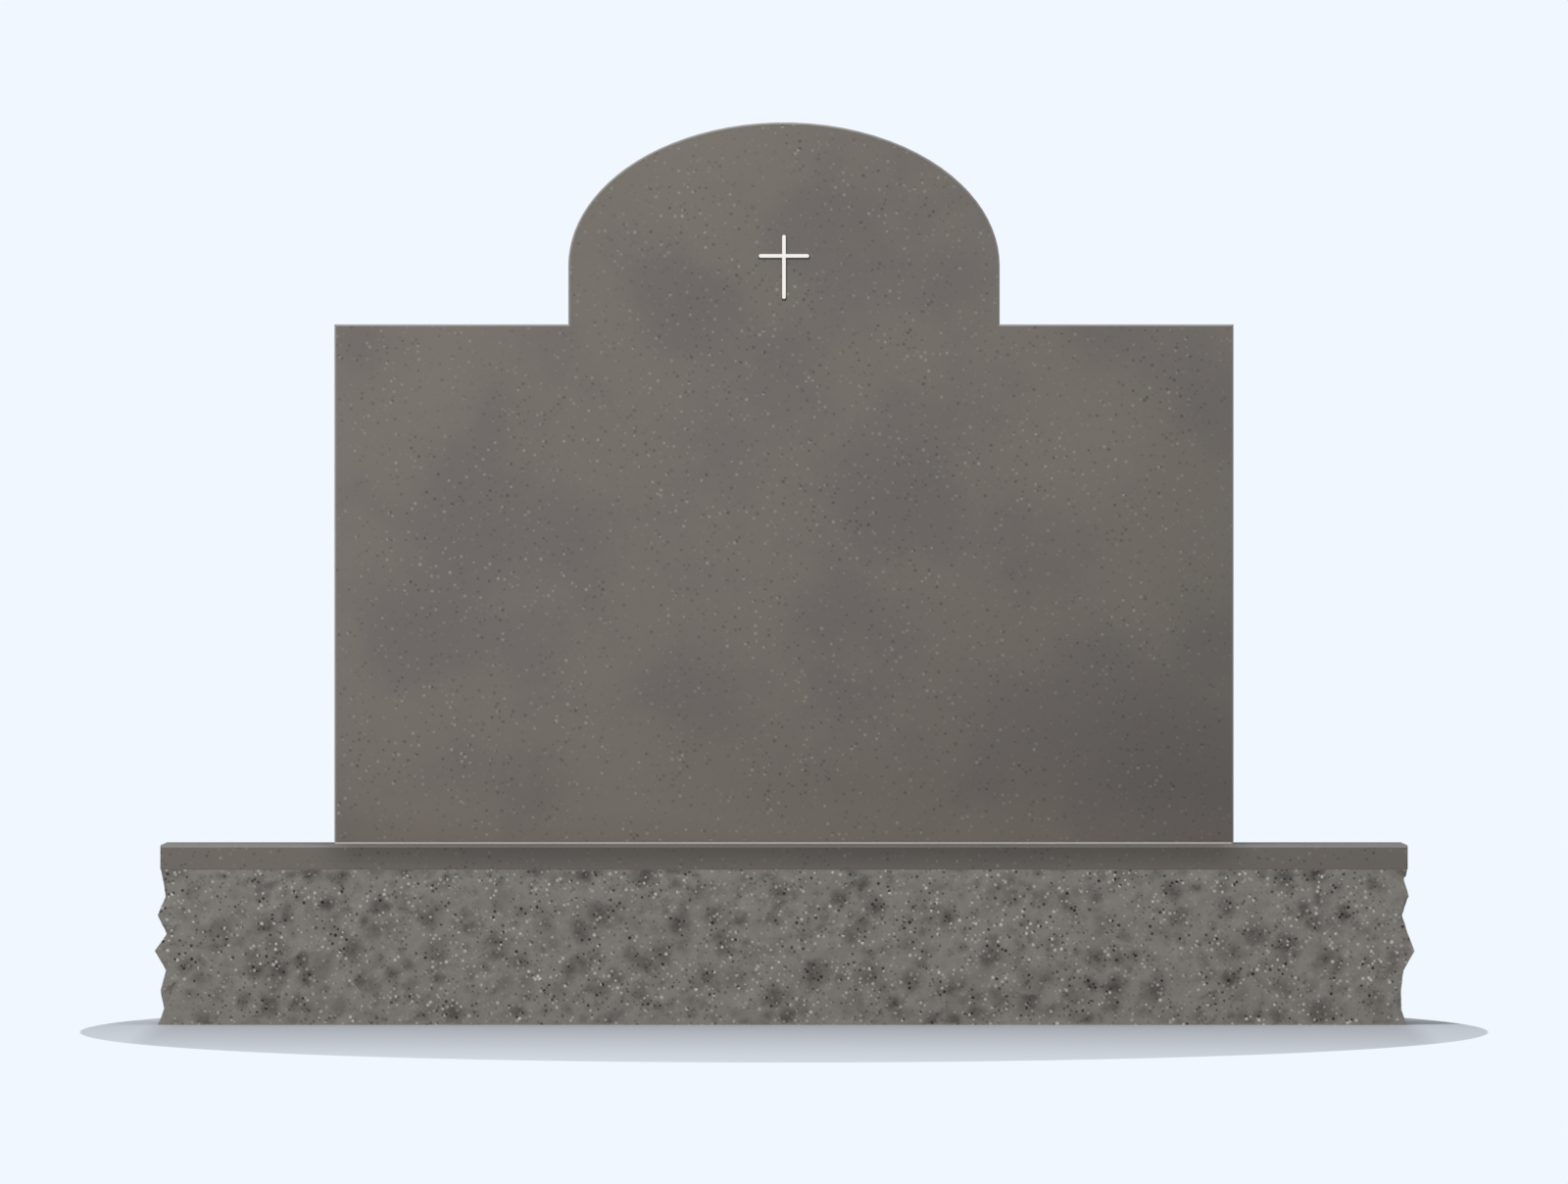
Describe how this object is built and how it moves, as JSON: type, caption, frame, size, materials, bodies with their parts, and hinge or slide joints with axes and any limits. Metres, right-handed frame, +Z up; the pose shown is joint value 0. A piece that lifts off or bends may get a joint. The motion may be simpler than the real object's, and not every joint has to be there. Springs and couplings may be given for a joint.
{
  "type": "headstone",
  "caption": "Upright grey stone tablet with level shoulders, a half-elliptical raised head and a small raised cross, set on a rock-pitched stone base with a smooth top margin.",
  "frame": {"origin": "on the ground, at the middle of the base's underside", "axes": "+X along the stone to the right as seen from the front, +Y from the front to the back, +Z up; the face with the cross looks along -Y"},
  "size_m": [1.0668, 0.3048, 0.7639],
  "materials": {
    "tablet_stone": "satin",
    "base_stone": "matte",
    "setting_compound": "matte",
    "cross_enamel": "satin",
    "dowel_steel": "satin",
    "spacer_plastic": "matte"
  },
  "bodies": {
    "root": {"tablet": "tablet_stone", "base": "base_stone", "setting_bed": "setting_compound", "cross": "cross_enamel", "dowel_left": "dowel_steel", "dowel_right": "dowel_steel", "spacer_front_left": "spacer_plastic", "spacer_front_right": "spacer_plastic", "spacer_back_left": "spacer_plastic", "spacer_back_right": "spacer_plastic"}
  },
  "joints": []
}
